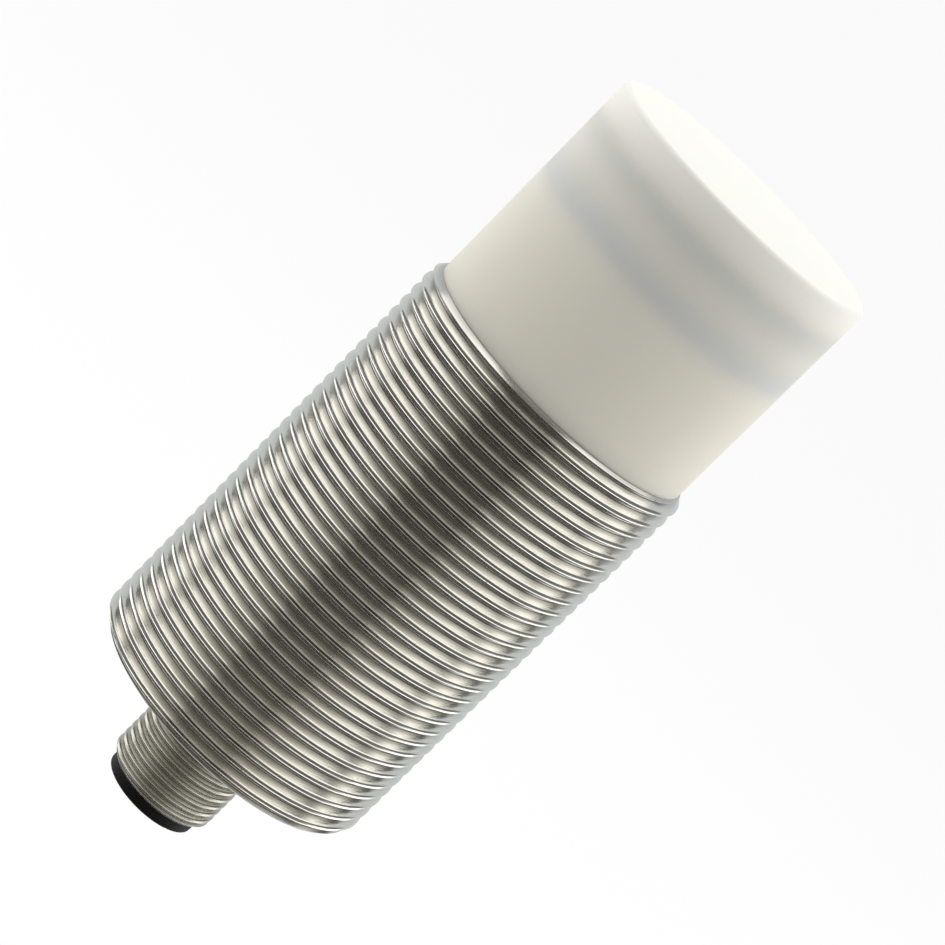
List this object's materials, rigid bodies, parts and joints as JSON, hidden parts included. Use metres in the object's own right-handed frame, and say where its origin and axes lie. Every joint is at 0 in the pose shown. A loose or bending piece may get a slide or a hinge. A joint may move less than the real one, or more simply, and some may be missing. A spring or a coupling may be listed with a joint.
{
  "type": "capacitive proximity sensor",
  "caption": "Cylindrical capacitive proximity sensor: threaded metal barrel, long translucent sensing cap and a round threaded connector at the rear.",
  "frame": {"origin": "on the sensor's axis, halfway along the mounting thread of the barrel", "axes": "+Z along the axis towards the sensing face, +X towards the sensitivity trimmer in the rear plate"},
  "size_m": [0.032, 0.032, 0.082],
  "materials": {
    "plated_metal": "nickel plated, machined, semi-gloss",
    "connector_metal": "nickel plated, satin",
    "shield_metal": "satin",
    "cap_plastic": "translucent off-white, matt",
    "black_plastic": "satin black",
    "seal_rubber": "matt black",
    "copper": "bright copper",
    "tinned_wire": "tinned",
    "carrier_plastic": "moulded, matt",
    "board_laminate": "green solder resist",
    "chip_plastic": "moulded black",
    "can_metal": "satin can",
    "trimmer_plastic": "moulded blue",
    "rotor_brass": "turned brass",
    "pin_brass": "gold plated",
    "lamp_plastic": "tinted clear",
    "window_plastic": "clear",
    "resin": "cast resin"
  },
  "bodies": {
    "sensor": {"board_support": "carrier_plastic", "cap_seal_ring": "seal_rubber", "circuit_board": "board_laminate", "comparator_chip": "chip_plastic", "compensation_electrode": "copper", "compensation_lead": "tinned_wire", "connector_board": "board_laminate", "connector_seal_ring": "seal_rubber", "connector_shell": "connector_metal", "contact_insert": "black_plastic", "contact_pin_1": "pin_brass", "contact_pin_2": "pin_brass", "contact_pin_3": "pin_brass", "contact_pin_4": "pin_brass", "electrode_carrier": "carrier_plastic", "electrode_lead": "tinned_wire", "filter_capacitor": "can_metal", "light_pipe": "window_plastic", "oscillator_chip": "chip_plastic", "output_transistor": "chip_plastic", "potting_plug": "resin", "rear_plate": "plated_metal", "rear_seal_ring": "seal_rubber", "sensing_cap": "cap_plastic", "sensing_electrode": "copper", "shield_sleeve": "shield_metal", "status_led": "lamp_plastic", "suppressor_diode": "chip_plastic", "threaded_barrel": "plated_metal", "trimmer_body": "trimmer_plastic"},
    "trimmer": {"trimmer_rotor": "rotor_brass"}
  },
  "joints": [
    {"name": "sensitivity_trimmer", "type": "hinge", "parent": "sensor", "child": "trimmer", "pos_m": [0.011, 0, -0.0219], "axis": [0, 0, 1], "range_deg": [-135, 135]}
  ]
}
